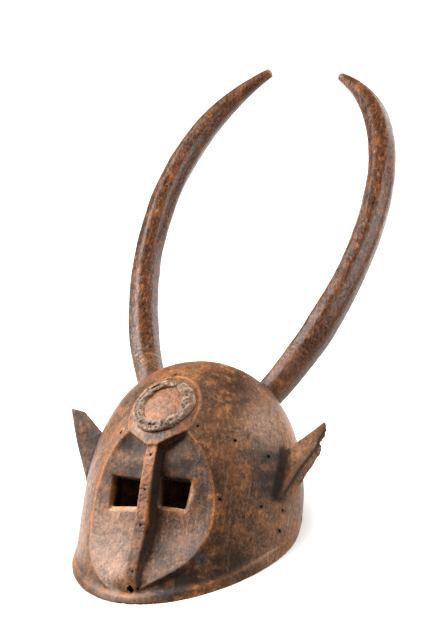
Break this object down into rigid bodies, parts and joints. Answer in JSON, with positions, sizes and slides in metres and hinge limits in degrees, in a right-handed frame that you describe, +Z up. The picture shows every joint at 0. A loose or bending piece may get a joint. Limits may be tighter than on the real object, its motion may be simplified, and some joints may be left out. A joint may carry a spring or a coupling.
{
  "type": "animal helmet mask",
  "caption": "Carved wooden animal helmet mask with a leaf-shaped face, square eyes, ears and long swept-back horns.",
  "frame": {"origin": "on the surface the rim stands on, under the middle of the mask's whole width and length", "axes": "+Z up; the face looks towards -Y and the horns sweep back towards +Y; +X is on the viewer's right"},
  "size_m": [0.3345, 0.6707, 0.4041],
  "materials": {
    "patinated_wood": "hand-carved hardwood, dark patina, worn to a satin on edges and horns",
    "dried_resin": "dull, lumpy, aged resin with dust in its folds"
  },
  "bodies": {
    "root": {"carved_mask": "patinated_wood", "forehead_resin_ring": "dried_resin"}
  },
  "joints": []
}
